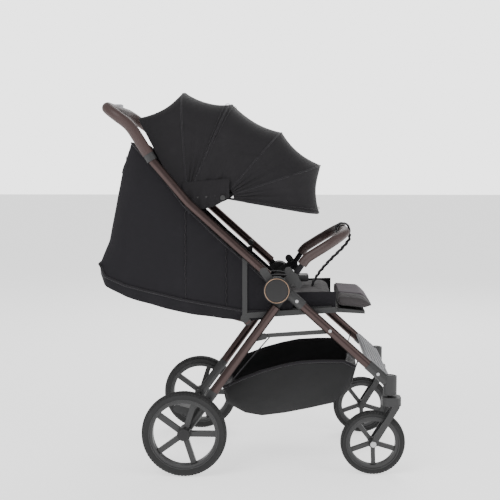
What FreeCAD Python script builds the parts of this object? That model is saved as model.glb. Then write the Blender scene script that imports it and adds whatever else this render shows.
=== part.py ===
import FreeCAD, Part
import math
import os

V = FreeCAD.Vector
os.makedirs("parts", exist_ok=True)

# Driving dimensions, mm. +X is forward, +Y the stroller's left, +Z up, floor at Z 0.
REAR_R, REAR_WIDTH, REAR_X, REAR_Y = 120.0, 36.0, -190.0, 265.0
FRONT_R, FRONT_WIDTH, FRONT_X = 91.0, 30.0, 338.0
CASTER_X, CASTER_Y, HOUSING_LOW, HOUSING_TOP = 385.0, 228.0, 228.0, 281.0
HUB_X, HUB_Z, HUB_R = 68.0, 522.0, 37.0
TUBE_Y, TUBE_R, TUBE_WALL = 230.0, 12.2, 1.6
TUBE_ANGLE = 41.9  # below horizontal, front leg and handle tube in line
TUBE_OFFSET = 14.0  # tube line ahead of the hub centre
REAR_PIVOT = (90.0, 508.0)
CLIP = (-185.0, 770.0)  # canopy pivot
KNOB = (-84.0, 777.0)  # front canopy pivot, on the canopy arm
RECLINE = (-16.0, 427.0)  # backrest hinge
RECLINE_RISE = 15.0  # backrest angle above horizontal at rest
LEG_REST = (232.0, 458.0)  # leg rest hinge
BUMPER = (114.0, 552.0)  # bumper bar pivot
LINK = (32.0, 387.0)  # link pivot on the rear leg bracket
BAR_Y, SOCKET_Y = 190.0, 206.8  # half widths over the bumper bar's arms and its sockets
PAN_Y = 178.0  # half width of the seat
FABRIC = 5.0
CENTRE = 5.7  # moves the origin to the middle of the length

TUBE_A = math.radians(TUBE_ANGLE)
D = V(math.cos(TUBE_A), 0, -math.sin(TUBE_A))
N = V(math.sin(TUBE_A), 0, math.cos(TUBE_A))
FOOT = V(HUB_X, 0, HUB_Z) + N * TUBE_OFFSET
SIDES = {"right": -1, "left": 1}


def out(name, *shapes):
    shape = shapes[0] if len(shapes) == 1 else Part.makeCompound(list(shapes))
    shape = shape.translated(V(CENTRE, 0, 0))
    shape.exportStep(f"parts/{name}.step")
    print(name, len(shape.Solids), round(shape.Volume / 1000, 1), shape.isValid())


def along(t, y, n=0.0):
    """A point t mm down the tube line at side y, n mm above it."""
    p = FOOT + D * t + N * n
    return V(p.x, y, p.z)


def rod(p, q, r):
    return Part.makeCylinder(r, (q - p).Length, p, q - p)


def tube(p, q, r, wall=TUBE_WALL):
    return rod(p, q, r).cut(rod(p, q, r - wall))


def disc(x, y0, y1, z, r):
    return rod(V(x, y0, z), V(x, y1, z), r)


def prism(points, y0, y1):
    """A closed X-Z outline extruded from y0 to y1."""
    wire = Part.makePolygon([V(x, y0, z) for x, z in points + points[:1]])
    return Part.Face(wire).extrude(V(0, y1 - y0, 0))


def path(points, radii):
    """Straight runs joined by tangent arcs."""
    edges, at = [], points[0]
    for i, r in enumerate(radii, 1):
        a, b, c = points[i - 1], points[i], points[i + 1]
        u, w = (a - b).normalize(), (c - b).normalize()
        half = u.getAngle(w) / 2
        cut = r / math.tan(half)
        p, q = b + u * cut, b + w * cut
        mid = (u + w).normalize()
        m = b + mid * (r / math.sin(half) - r)
        if (p - at).Length > 0.01:
            edges.append(Part.LineSegment(at, p).toShape())
        edges.append(Part.Arc(p, m, q).toShape())
        at = q
    edges.append(Part.LineSegment(at, points[-1]).toShape())
    return Part.Wire(edges)


def sweep(points, radii, r):
    wire = path(points, radii)
    start = (points[1] - points[0]).normalize()
    ring = Part.Wire([Part.Circle(points[0], start, r).toShape()])
    return wire.makePipeShell([ring], True, False)


def mirrored(points):
    return points + [V(p.x, -p.y, p.z) for p in reversed(points)]


def slab(p, q, width, thick, y):
    """A flat bar from p to q in the X-Z plane, with round ends, centred on y."""
    a, b = V(p[0], y - thick / 2, p[1]), V(q[0], y - thick / 2, q[1])
    run = (b - a).normalize()
    side = V(-run.z, 0, run.x) * (width / 2)
    wire = Part.makePolygon([a + side, b + side, b - side, a - side, a + side])
    bar = Part.Face(wire).extrude(V(0, thick, 0))
    ends = [Part.makeCylinder(width / 2, thick, c, V(0, 1, 0)) for c in (a, b)]
    return bar.fuse(ends[0]).fuse(ends[1]).removeSplitter()


# Wheels
def tyre(x, y, z, r, width, depth):
    half = width / 2
    ring = [(r - depth, -half + 3), (r - depth, half - 3), (r - 8, half), (r - 2, half - 7),
            (r, 0), (r - 2, -half + 7), (r - 8, -half)]
    wire = Part.makePolygon([V(x + a, y + b, z) for a, b in ring + ring[:1]])
    return Part.Face(wire).revolve(V(x, y, z), V(0, 1, 0), 360)


def rim(x, y, z, r, width, hub_r, bore_r, spoke, start):
    half = width / 2
    band = disc(x, y - half, y + half, z, r).cut(disc(x, y - half, y + half, z, r - 11))
    body = band.fuse(disc(x, y - half, y + half, z, hub_r))
    for k in range(5):
        bar = Part.makeBox(r - hub_r, half * 1.1, spoke, V(hub_r - 4, -half * 0.55, -spoke / 2))
        bar.rotate(V(0, 0, 0), V(0, 1, 0), -(start + 72 * k))
        bar.translate(V(x, y, z))
        body = body.fuse(bar)
    return body.removeSplitter().cut(disc(x, y - width, y + width, z, bore_r))


AXLE_R, RUN = 6.0, 0.05
for side, s in SIDES.items():
    y = s * REAR_Y
    out(f"rear_tyre_{side}", tyre(REAR_X, y, REAR_R, REAR_R, REAR_WIDTH, 21))
    out(f"rear_rim_{side}", rim(REAR_X, y, REAR_R, REAR_R - 21, 28, 19, AXLE_R + RUN, 15, 0))
    out(f"rear_cap_{side}", disc(REAR_X, y + s * 14, y + s * 20, REAR_R, 17))
    y = s * CASTER_Y
    out(f"front_tyre_{side}", tyre(FRONT_X, y, FRONT_R, FRONT_R, FRONT_WIDTH, 17))
    out(f"front_rim_{side}", rim(FRONT_X, y, FRONT_R, FRONT_R - 17, 22, 14, AXLE_R + RUN, 12, 56))

# Caster fork: crown, stem, two arms, axle
FORK_TOP = (402.0, 197.0)
for side, s in SIDES.items():
    y = s * CASTER_Y
    crown = Part.makeBox(52, 50, 24, V(CASTER_X - 22, y - 25, 198))
    crown = crown.common(Part.makeCylinder(30, 24, V(CASTER_X + 4, y, 198)))
    arms = [slab(FORK_TOP, (FRONT_X, FRONT_R), 17, 6, y + k * 21) for k in (-1, 1)]
    stem = Part.makeCylinder(7, 60, V(CASTER_X, y, 215))
    fork = crown.fuse(arms[0]).fuse(arms[1]).fuse(stem).removeSplitter()
    fork = fork.fuse(disc(FRONT_X, y - 26, y + 26, FRONT_R, AXLE_R)).removeSplitter()
    out(f"caster_fork_{side}", fork)

# Front legs with their sockets, hubs and covers
LEG_START, LEG_END = 36.0, 330.0
for side, s in SIDES.items():
    y = s * TUBE_Y
    out(f"front_leg_{side}", tube(along(LEG_START, y), along(LEG_END, y), 13))
    shoe = rod(along(LEG_END, y), along(400, y), 14.5)
    housing = Part.makeCylinder(19, HOUSING_TOP - HOUSING_LOW, V(CASTER_X, s * CASTER_Y, HOUSING_LOW))
    shoe = shoe.fuse(housing)
    low = Part.makeBox(120, 80, 60, V(CASTER_X - 60, y - 40, HOUSING_LOW - 60))
    bore = Part.makeCylinder(7 + RUN, 60, V(CASTER_X, s * CASTER_Y, HOUSING_LOW - 10))
    out(f"caster_housing_{side}", shoe.cut(low).cut(bore).removeSplitter())
    hub = disc(HUB_X, y - s * 9, y + s * 9, HUB_Z, HUB_R - 1)
    hub = hub.fuse(rod(along(32, y), along(84, y), 15))
    hub = hub.cut(rod(along(LEG_START, y), along(90, y), 13))
    hub = hub.cut(disc(HUB_X, y - 30, y + 30, HUB_Z, 8 + RUN))
    out(f"hub_{side}", hub.removeSplitter())
out("hub_covers", *[disc(HUB_X, s * (TUBE_Y + 24), s * (TUBE_Y + 32), HUB_Z, HUB_R) for s in SIDES.values()])
screws = []
for s in SIDES.values():
    for t in (62.0, 186.0, 366.0):
        y = s * (TUBE_Y + 14.2)
        c = along(t, y)
        screws.append(rod(c, V(c.x, y + s * 3, c.z), 4.5))
out("frame_screws", *screws)
END_Y = TUBE_Y - 14.7
out("front_crossbar", tube(along(352, -END_Y, -4), along(352, END_Y, -4), 9))
tread = Part.makeBox(84, 2 * (END_Y - 14), 8, V(0, -(END_Y - 14), 0))
for k in range(6):
    tread = tread.fuse(Part.makeBox(5, 2 * (END_Y - 22), 3, V(6 + 13 * k, -(END_Y - 22), 8)))
tread.rotate(V(0, 0, 0), V(0, 1, 0), TUBE_ANGLE)
tread.translate(along(318, 0, 6))
out("footrest", tread)

# Rear legs, shoes, axle, brackets, brake
LEG_TOP, LEG_LOW = V(66, 0, 474), V(-108, 0, 233)
LEG_Y = 230.5
pivots = []
for side, s in SIDES.items():
    y = s * LEG_Y
    top, low = V(LEG_TOP.x, y, LEG_TOP.z), V(LEG_LOW.x, y, LEG_LOW.z)
    out(f"rear_leg_{side}", tube(top, low, 13))
    wheel = V(REAR_X, y, REAR_R)
    shoe = rod(low, wheel, 14).fuse(disc(REAR_X, y - 16, y + 5, REAR_R, 17))
    out(f"rear_shoe_{side}", shoe.cut(disc(REAR_X, y - 40, y + 40, REAR_R, 9)).removeSplitter())
    tang = slab(REAR_PIVOT, (LEG_TOP.x - 6, LEG_TOP.z - 8), 22, 5, s * (TUBE_Y - 18))
    web = rod(V(LEG_TOP.x - 6, s * (TUBE_Y - 20), LEG_TOP.z - 8), V(LEG_TOP.x - 6, y, LEG_TOP.z - 8), 7)
    pivots.append(tang.fuse(web).cut(rod(top, low, 13)).removeSplitter())
out("rear_pivots", *pivots)
AXLE_END = REAR_Y + 13
out("rear_axle", disc(REAR_X, -AXLE_END, AXLE_END, REAR_R, AXLE_R).fuse(
    disc(REAR_X, -(LEG_Y + 5), LEG_Y + 5, REAR_R, 9)).removeSplitter())
brackets = []
for s in SIDES.values():
    arm = slab((2, 380), LINK, 18, 5, s * (LEG_Y - 16.4))
    brackets.append(arm.fuse(rod(V(-1, s * (LEG_Y - 19), 380), V(-1, s * (LEG_Y - 12), 380), 9)).cut(
        rod(V(LEG_TOP.x, s * LEG_Y, LEG_TOP.z), V(LEG_LOW.x, s * LEG_Y, LEG_LOW.z), 13)))
out("link_brackets", *brackets)
pedal = slab((REAR_X, REAR_R), (REAR_X - 46, REAR_R + 14), 24, 70, 0)
out("brake_pedal", pedal.cut(disc(REAR_X, -60, 60, REAR_R, 9 + RUN)))

# Links between rear and front legs
links = []
for s in SIDES.values():
    y = s * (LEG_Y - 21.5)
    links.append(slab(LINK, (206, 399), 9, 4, y).fuse(slab((40, 392), (200, 404), 5, 4, y)).removeSplitter())
out("link_bars", *links)

# Handle: tubes, collars, leather bar, release button
COLLAR, COLLAR_TOP = V(-279, 0, 880), V(-290, 0, 898)
lugs = []
for side, s in SIDES.items():
    y = s * TUBE_Y
    low = along(-44, y)
    pts = [low, V(along(-345, y).x, y, along(-345, y).z), V(COLLAR.x, y, COLLAR.z)]
    out(f"handle_tube_{side}", sweep(pts, [160], TUBE_R))
    plate = disc(HUB_X, y + s * 9.5, y + s * 15, HUB_Z, 27)
    lug = slab((HUB_X, HUB_Z), (along(-62, y).x, along(-62, y).z), 22, 5.5, y + s * 12.25)
    lugs.append(plate.fuse(lug).fuse(disc(HUB_X, y - s * 24.9, y + s * 22, HUB_Z, 8)).cut(
        rod(along(-44, y), along(-200, y), TUBE_R)).removeSplitter())
out("handle_lugs", *lugs)
out("handle_collars", *[rod(V(COLLAR.x, s * TUBE_Y, COLLAR.z), V(COLLAR_TOP.x, s * TUBE_Y, COLLAR_TOP.z), 15)
                        for s in SIDES.values()])
half = [V(COLLAR_TOP.x, -TUBE_Y, COLLAR_TOP.z), V(-340, -TUBE_Y, 978), V(-411, -TUBE_Y, 1029)]
bar = sweep(mirrored(half), [110, 60, 60, 110], 16)
slot = Part.makeBox(26, 44, 30, V(-411 - 13, -22, 1029))
out("handle_bar", bar.cut(slot))
out("fold_button", Part.makeBox(24, 42, 14, V(-411 - 12, -21, 1035)))

# Seat frame on the handle tubes, seat pad, bumper sockets
STRUT_X, FRAME_Y = -23.0, 203.0
strut_top = along(-134, 0).z - 12
frame = disc(30, -FRAME_Y, FRAME_Y, 444, 5)
for s in SIDES.values():
    y = s * FRAME_Y
    post = Part.makeBox(14, 7, strut_top - 436, V(STRUT_X - 7, y - 3.5, 436))
    foot = disc(STRUT_X, y - 3.5, y + 3.5, 436, 12)
    eye = disc(STRUT_X, y - s * 3.5, s * (TUBE_Y - TUBE_R), strut_top + 11, 9)
    rail = slab((STRUT_X, 444), (228, 462), 16, 7, y)
    ear = disc(RECLINE[0], y - s * 9, y, RECLINE[1], 11)
    for piece in (post, foot, eye, rail, ear):
        frame = frame.fuse(piece)
    frame = frame.cut(disc(RECLINE[0], s * 190, s * (FRAME_Y + 0.3), RECLINE[1], 8 + RUN))
out("seat_frame", frame.removeSplitter())
rail_y = FRAME_Y - 3.5
out("seat_pan", prism([(4, 452), (222, 466), (222, 472), (4, 458)], -rail_y + 0.3, rail_y - 0.3))
SEAT_PAD = [(6, 460), (60, 463.5), (222, 474), (222, 500), (205, 508), (60, 500), (6, 494)]
out("seat_pad", prism(SEAT_PAD, -PAN_Y, PAN_Y))
sockets = []
for s in SIDES.values():
    p, q = (100, 572), (128, 534)
    plate = slab(p, q, 22, 4.2, s * SOCKET_Y).fuse(slab((HUB_X, HUB_Z), BUMPER, 30, 4.2, s * SOCKET_Y))
    plate = plate.cut(disc(HUB_X, s * 200, s * 215, HUB_Z, 8))
    sockets.append(plate.fuse(disc(BUMPER[0], s * (BAR_Y - 4), s * SOCKET_Y, BUMPER[1], 4)).removeSplitter())
out("bumper_sockets", *sockets)

# Bumper bar: sleeves at its ends, leather cover between
half = [V(BUMPER[0], -BAR_Y, BUMPER[1]), V(150, -BAR_Y, 606), V(262, -BAR_Y, 676)]
lower = V(138, -BAR_Y, 588)
cover = sweep(mirrored([lower, half[1], half[2]]), [60, 78, 78, 60], 14)
out("bumper_cover", cover)
sleeves = []
for s in SIDES.values():
    a, b = V(half[0].x, s * BAR_Y, half[0].z), V(lower.x, s * BAR_Y, lower.z)
    eye = disc(a.x, s * (BAR_Y - 9), s * (SOCKET_Y - 2.5), a.z, 12)
    pin = disc(a.x, s * (BAR_Y - 4.5), s * SOCKET_Y, a.z, 4 + RUN)
    sleeves.append(rod(a, b, 8).fuse(eye).cut(pin))
out("bumper_sleeves", *sleeves)

# Canopy: bows (U shaped rods), arm, fabric panels
BOW_R, SKIN, NEAR, BLADE, BOSS_R = 3.5, 3.0, 30.0, 62.0, 2.5
BOWS = {  # pivot, angle forward of vertical, reach, half width at the pivot, corner radius
    "rear": (CLIP, -4.0, 303.0, 199.0, 95.0),
    "main": (CLIP, 23.0, 292.0, 199.0, 95.0),
    "front": (KNOB, 41.0, 240.0, 199.0, 85.0),
    "visor": (KNOB, 72.0, 284.0, 199.0, 85.0),
    "edge": (KNOB, 100.0, 270.0, 199.0, 70.0),
}


def bow_points(pivot, angle, reach, width, start, inset=0.0):
    a = math.radians(angle)
    e = V(math.sin(a), 0, math.cos(a))
    c = V(pivot[0], 0, pivot[1])
    low, top = c + e * start, c + e * (reach - inset)
    y0, y1 = width - inset, width - 14 - inset
    return [V(low.x, -y0, low.z), V(top.x, -y1, top.z), V(top.x, y1, top.z), V(low.x, y0, low.z)]


def bow(name, blade_y):
    """A bow with a thin blade at each foot that turns on the pivot's boss."""
    pivot, angle, reach, width, corner = BOWS[name]
    inset = SKIN + BOW_R + 2.6
    points = bow_points(pivot, angle, reach, width, BLADE, inset)
    shape = sweep(points, [corner - inset] * 2, BOW_R)
    foot = (points[0].x, points[0].z)
    for s in (-1, 1):
        blade = slab(pivot, foot, 6, 1.6, s * blade_y)
        shape = shape.fuse(blade.cut(disc(pivot[0], s * 180, s * 205, pivot[1], BOSS_R + RUN)))
    return shape.removeSplitter()


def hoop(name):
    """The closed outline of the fabric's section in one bow's plane."""
    pivot, angle, reach, width, corner = BOWS[name]
    outer = path(bow_points(pivot, angle, reach, width, NEAR), [corner] * 2)
    inner = path(bow_points(pivot, angle, reach, width, NEAR, SKIN), [corner - SKIN] * 2)
    ends = [Part.LineSegment(outer.OrderedVertexes[i].Point,
                             inner.OrderedVertexes[i].Point).toShape() for i in (0, -1)]
    return Part.Wire(Part.__sortEdges__(outer.Edges + inner.Edges + ends))


def panel(a, b):
    return Part.makeLoft([hoop(a), hoop(b)], True, True)


def boss(pivot, y0, y1, r, s):
    return disc(pivot[0], s * y0, s * y1, pivot[1], r)


clips = []
for s in SIDES.values():
    plate = slab(CLIP, (along(-352, 0).x, along(-352, 0).z), 20, 4, s * (TUBE_Y - 14.8))
    clips.append(plate.fuse(boss(CLIP, 186, TUBE_Y - 13, BOSS_R, s)).removeSplitter())
out("canopy_clips", *clips)
arms = []
for s in SIDES.values():
    arm = slab(CLIP, KNOB, 15, 4, s * 208.5).cut(boss(CLIP, 200, 220, BOSS_R + RUN, s))
    arms.append(arm.fuse(boss(KNOB, 186, 207, BOSS_R, s)).removeSplitter())
out("canopy_arms", *arms)
for name, blade_y in zip(BOWS, (192.2, 189.7, 192.2, 189.7, 187.4)):
    out(f"canopy_bow_{name}", bow(name, blade_y))
order = list(BOWS)
for a, b in zip(order, order[1:]):
    out(f"canopy_panel_{b}", panel(a, b))

# Fabric tub: side walls, rear wall and floor behind the seat
TUB_Y = 196.0
TUB = [(-346, 925), (-368, 854), (-408, 654), (-440, 582), (-420, 556), (-20, 452), (2, 456),
       (2, 575), (-196, 756), (-276, 862)]
INNER = [(-336, 925), (-363, 854), (-403, 655), (-431, 585), (-416, 562), (-20, 459),
         (100, 459), (100, 950), (-336, 950)]
out("tub", prism(TUB, -TUB_Y, TUB_Y).cut(prism(INNER, -TUB_Y + FABRIC, TUB_Y - FABRIC)))

# Backrest: tube frame under the tub's floor, pad above it
REST_A = math.radians(RECLINE_RISE)
BACK = V(-math.cos(REST_A), 0, math.sin(REST_A))
UP = V(math.sin(REST_A), 0, math.cos(REST_A))
hinge = V(RECLINE[0], 0, RECLINE[1])


def rest(t, y, n):
    p = hinge + BACK * t + UP * n
    return V(p.x, y, p.z)


REST_Y, REST_LONG = 184.0, 400.0
REST_CORNERS = [rest(0, -REST_Y, 0), rest(REST_LONG, -REST_Y, 0),
                rest(REST_LONG, REST_Y, 0), rest(0, REST_Y, 0)]
frame = sweep(REST_CORNERS,
              [60, 60], 8)
for s in (-1, 1):
    frame = frame.fuse(disc(RECLINE[0], s * (REST_Y - 8), s * FRAME_Y, RECLINE[1], 8))
out("backrest_frame", frame.removeSplitter())
pad = Part.makeBox(334, 2 * (PAN_Y - 8), 20)
pad.rotate(V(0, 0, 0), V(0, 1, 0), 180 + RECLINE_RISE)
corner = rest(72, 0, 54)
pad.translate(V(corner.x, -(PAN_Y - 8), corner.z))
out("backrest_pad", pad)

# Leg rest
out("leg_rest_board", prism([(234, 450), (318, 446), (318, 454), (240, 462), (226, 462)], -166, 166).fuse(
    disc(LEG_REST[0], -196, 196, LEG_REST[1], 6)).removeSplitter())
LEG_PAD = [(243, 466), (319, 458), (334, 464), (336, 474), (316, 492), (243, 500)]
LEG_PAD_Y = 168
out("leg_rest_pad", prism(LEG_PAD, -LEG_PAD_Y, LEG_PAD_Y))

# Basket
BASKET = [(-86, 233), (24, 280), (132, 307), (258, 311), (292, 294), (279, 236), (232, 187), (91, 156),
          (25, 147), (-23, 155), (-78, 184)]
HOLLOW = [(-81, 233), (-81, 330), (287, 330), (287, 294), (274, 239), (229, 192),
          (91, 161), (25, 152), (-22, 160), (-73, 187)]
out("basket", prism(BASKET, -190, 190).cut(prism(HOLLOW, -190 + FABRIC, 190 - FABRIC)))
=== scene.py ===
"""Baby stroller: fabric, padding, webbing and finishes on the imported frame."""

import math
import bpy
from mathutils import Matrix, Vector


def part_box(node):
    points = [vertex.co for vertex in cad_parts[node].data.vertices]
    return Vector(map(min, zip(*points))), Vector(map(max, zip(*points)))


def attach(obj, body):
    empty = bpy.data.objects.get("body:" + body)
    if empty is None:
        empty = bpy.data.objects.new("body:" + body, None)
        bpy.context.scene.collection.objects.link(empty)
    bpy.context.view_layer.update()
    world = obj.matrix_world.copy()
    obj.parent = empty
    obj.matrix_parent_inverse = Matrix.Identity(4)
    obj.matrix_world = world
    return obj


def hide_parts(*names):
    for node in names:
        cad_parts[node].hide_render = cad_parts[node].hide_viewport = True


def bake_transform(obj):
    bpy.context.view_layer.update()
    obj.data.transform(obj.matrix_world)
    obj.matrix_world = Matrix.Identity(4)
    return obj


bl_info = {
    "name": "Baby Stroller",
    "version": (1, 0, 0),
    "blender": (4, 5, 0),
    "location": "View3D > Sidebar > Stroller",
    "description": "Builds a stroller's canopy, seat tub, padding, basket and finishes",
    "category": "Object",
}

import bpy
from mathutils import Matrix, Vector, noise

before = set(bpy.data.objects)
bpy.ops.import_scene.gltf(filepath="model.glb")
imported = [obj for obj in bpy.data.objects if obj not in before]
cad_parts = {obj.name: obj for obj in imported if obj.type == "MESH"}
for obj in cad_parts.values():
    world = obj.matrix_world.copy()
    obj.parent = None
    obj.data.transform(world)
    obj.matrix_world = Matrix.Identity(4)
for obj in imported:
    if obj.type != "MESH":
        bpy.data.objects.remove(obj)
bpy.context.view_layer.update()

CENTRE = 0.0057  # how far forward of its own drawing the whole model stands
CLOTH_SMOOTH = 60  # degrees over which cloth shades as one surface
REAR_AXLE_X, REAR_WHEEL_Y, REAR_RADIUS, REAR_TYRE = -0.190 + CENTRE, 0.265, 0.120, 0.036
FRONT_AXLE_X, FRONT_WHEEL_Y, FRONT_RADIUS, FRONT_TYRE = 0.338 + CENTRE, 0.228, 0.091, 0.030
CASTER_X = 0.385 + CENTRE
HUB_X, HUB_Z = 0.068 + CENTRE, 0.522
BUMPER_BAR = Vector((0.262 + CENTRE, 0, 0.676))
BAR_WRAP_RADIUS = 0.0185
EYE, LENS, SENSOR = Vector((0.1022 + CENTRE, -3.0088, 0.8587)), 72.18, 36.0
YAW, PITCH = math.radians(-2.2557), math.radians(4.6531)
SKY_LIGHT, SKY_SEEN = 0.62, 3.0
CLIP = Vector((-0.185 + CENTRE, 0, 0.770))
KNOB = Vector((-0.084 + CENTRE, 0, 0.777))
# Each bow: pivot, angle forward of vertical, reach, half width at its foot, corner radius
BOWS = {
    "rear": (CLIP, -4.0, 0.303, 0.199, 0.095),
    "main": (CLIP, 23.0, 0.292, 0.199, 0.095),
    "front": (KNOB, 41.0, 0.240, 0.199, 0.085),
    "visor": (KNOB, 72.0, 0.284, 0.199, 0.085),
    "edge": (KNOB, 100.0, 0.270, 0.199, 0.070),
}
BOW_BODY = {"rear": "handle_frame", "main": "canopy_main", "front": "canopy_front",
            "visor": "canopy_visor", "edge": "canopy_edge"}


# ---------------------------------------------------------------- settings
class StrollerSizes(bpy.types.PropertyGroup):
    canopy_sag: bpy.props.FloatProperty(
        name="Canopy sag", description="How far the canopy dips between two bows",
        default=0.013, unit="LENGTH")
    cloth: bpy.props.FloatProperty(
        name="Cloth thickness", description="Thickness of the canopy and tub cloth",
        default=0.0016, unit="LENGTH")
    wrinkle: bpy.props.FloatProperty(
        name="Wrinkle depth", description="Depth of the creases in loose cloth",
        default=0.0045, unit="LENGTH")
    webbing: bpy.props.FloatProperty(
        name="Webbing width", description="Width of the harness straps",
        default=0.025, unit="LENGTH")


class StrollerColours(bpy.types.PropertyGroup):
    canopy: bpy.props.FloatVectorProperty(
        name="Canopy", description="Colour of the canopy cloth", subtype="COLOR",
        size=3, default=(0.0100, 0.0092, 0.0105))
    side: bpy.props.FloatVectorProperty(
        name="Tub", description="Colour of the tub's cloth", subtype="COLOR",
        size=3, default=(0.0075, 0.0068, 0.0088))
    seat: bpy.props.FloatVectorProperty(
        name="Seat", description="Colour of the padded seat", subtype="COLOR",
        size=3, default=(0.030, 0.026, 0.027))
    leather: bpy.props.FloatVectorProperty(
        name="Leather", description="Colour of the push bar's cover", subtype="COLOR",
        size=3, default=(0.040, 0.021, 0.019))
    tube: bpy.props.FloatVectorProperty(
        name="Tube", description="Colour of the anodised tubes", subtype="COLOR",
        size=3, default=(0.060, 0.042, 0.040))


# ---------------------------------------------------------------- materials
def group(name, inputs, outputs):
    tree = bpy.data.node_groups.new(name, "ShaderNodeTree")
    for label, kind, value in inputs:
        socket = tree.interface.new_socket(label, in_out="INPUT", socket_type=kind)
        if value is not None:
            socket.default_value = value
    for label, kind in outputs:
        tree.interface.new_socket(label, in_out="OUTPUT", socket_type=kind)
    return tree, tree.nodes.new("NodeGroupInput"), tree.nodes.new("NodeGroupOutput")


def add(tree, kind, inputs=None, **settings):
    node = tree.nodes.new(kind)
    for key, value in settings.items():
        setattr(node, key, value)
    for key, value in (inputs or {}).items():
        if isinstance(value, bpy.types.NodeSocket):
            tree.links.new(value, node.inputs[key])
        else:
            node.inputs[key].default_value = value
    return node


def math_node(tree, operation, a, b=0.0, clamp=False):
    return add(tree, "ShaderNodeMath", {0: a, 1: b}, operation=operation, use_clamp=clamp).outputs[0]


def weave_group():
    """Crossed threads with slubs: a colour factor and a height."""
    tree, enter, leave = group(
        "Woven threads",
        [("Vector", "NodeSocketVector", None), ("Threads", "NodeSocketFloat", 900.0),
         ("Slub", "NodeSocketFloat", 0.4)],
        [("Factor", "NodeSocketFloat"), ("Height", "NodeSocketFloat")])
    warp = add(tree, "ShaderNodeTexWave",
               {"Vector": enter.outputs["Vector"], "Scale": enter.outputs["Threads"],
               "Distortion": 1.2, "Detail": 1.0}, bands_direction="X")
    weft = add(tree, "ShaderNodeTexWave",
               {"Vector": enter.outputs["Vector"], "Scale": enter.outputs["Threads"],
               "Distortion": 1.2, "Detail": 1.0}, bands_direction="Z")
    cross = math_node(tree, "MULTIPLY", warp.outputs["Fac"], weft.outputs["Fac"])
    slub = add(tree, "ShaderNodeTexNoise", {"Vector": enter.outputs["Vector"], "Scale": 260.0, "Detail": 4.0})
    cloud = add(tree, "ShaderNodeTexNoise", {"Vector": enter.outputs["Vector"], "Scale": 7.0, "Detail": 3.0})
    uneven = math_node(tree, "MULTIPLY", slub.outputs["Fac"], enter.outputs["Slub"])
    both = math_node(tree, "ADD", cross, uneven)
    factor = math_node(tree, "MULTIPLY", math_node(tree, "ADD", both, cloud.outputs["Fac"]), 0.5, True)
    tree.links.new(factor, leave.inputs["Factor"])
    tree.links.new(both, leave.inputs["Height"])
    return tree


def grain_group():
    """Leather pebbling or moulded grain: a tone factor and a height."""
    tree, enter, leave = group(
        "Pebbled grain",
        [("Vector", "NodeSocketVector", None), ("Size", "NodeSocketFloat", 500.0)],
        [("Factor", "NodeSocketFloat"), ("Height", "NodeSocketFloat")])
    cells = add(tree, "ShaderNodeTexVoronoi",
                {"Vector": enter.outputs["Vector"], "Scale": enter.outputs["Size"]},
                feature="SMOOTH_F1")
    tone = add(tree, "ShaderNodeTexNoise", {"Vector": enter.outputs["Vector"], "Scale": 22.0, "Detail": 5.0})
    fine = add(tree, "ShaderNodeTexNoise",
               {"Vector": enter.outputs["Vector"], "Scale": 1400.0, "Detail": 2.0})
    height = math_node(tree, "ADD", cells.outputs["Distance"],
                       math_node(tree, "MULTIPLY", fine.outputs["Fac"], 0.35))
    tree.links.new(tone.outputs["Fac"], leave.inputs["Factor"])
    tree.links.new(height, leave.inputs["Height"])
    return tree


def wear_group():
    """Lighter rubbed patches where dirt and hands reach."""
    tree, enter, leave = group(
        "Rubbed wear", [("Vector", "NodeSocketVector", None), ("Amount", "NodeSocketFloat", 0.3)],
        [("Mask", "NodeSocketFloat")])
    patch = add(tree, "ShaderNodeTexNoise", {"Vector": enter.outputs["Vector"], "Scale": 14.0, "Detail": 8.0,
                "Roughness": 0.65})
    ramp = add(tree, "ShaderNodeMapRange",
               {"Value": patch.outputs["Fac"], "From Min": 0.52, "From Max": 0.78})
    tree.links.new(math_node(tree, "MULTIPLY", ramp.outputs[0], enter.outputs["Amount"], True),
                   leave.inputs["Mask"])
    return tree


def shared(name, build):
    return bpy.data.node_groups.get(name) or build()


def base_material(name, roughness, metallic=0.0, sheen=0.0, coat=0.0):
    found = bpy.data.materials.get(name)
    if found:
        return found, None, None, None
    material = bpy.data.materials.new(name)
    material.use_nodes = True
    tree = material.node_tree
    shader = tree.nodes["Principled BSDF"]
    shader.inputs["Roughness"].default_value = roughness
    shader.inputs["Metallic"].default_value = metallic
    shader.inputs["Sheen Weight"].default_value = sheen
    shader.inputs["Sheen Roughness"].default_value = 0.45
    shader.inputs["Coat Weight"].default_value = coat
    where = add(tree, "ShaderNodeTexCoord").outputs["Object"]
    return material, tree, shader, where


def finish(tree, shader, where, colour, light, factor, height, distance, wear, rough=(0.0, 0.0),
           strength=0.5):
    """Colour variation, rubbed wear, roughness variation and bump, joined to the shader."""
    mix = add(tree, "ShaderNodeMix", {"Factor": factor, "A": (*colour, 1), "B": (*light, 1)},
              data_type="RGBA")
    rub = add(tree, "ShaderNodeGroup", node_tree=shared("Rubbed wear", wear_group))
    tree.links.new(where, rub.inputs["Vector"])
    rub.inputs["Amount"].default_value = wear
    worn = add(tree, "ShaderNodeMix", {"Factor": rub.outputs["Mask"], "A": mix.outputs["Result"],
               "B": (*[min(1, c * 2.1 + 0.006) for c in light], 1)}, data_type="RGBA")
    tree.links.new(worn.outputs["Result"], shader.inputs["Base Color"])
    if rough[1] > rough[0]:
        spread = add(tree, "ShaderNodeMapRange", {"Value": factor, "To Min": rough[0], "To Max": rough[1]})
        tree.links.new(spread.outputs[0], shader.inputs["Roughness"])
    bump = add(tree, "ShaderNodeBump", {"Height": height, "Distance": distance, "Strength": strength})
    tree.links.new(bump.outputs["Normal"], shader.inputs["Normal"])
    return worn


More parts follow.
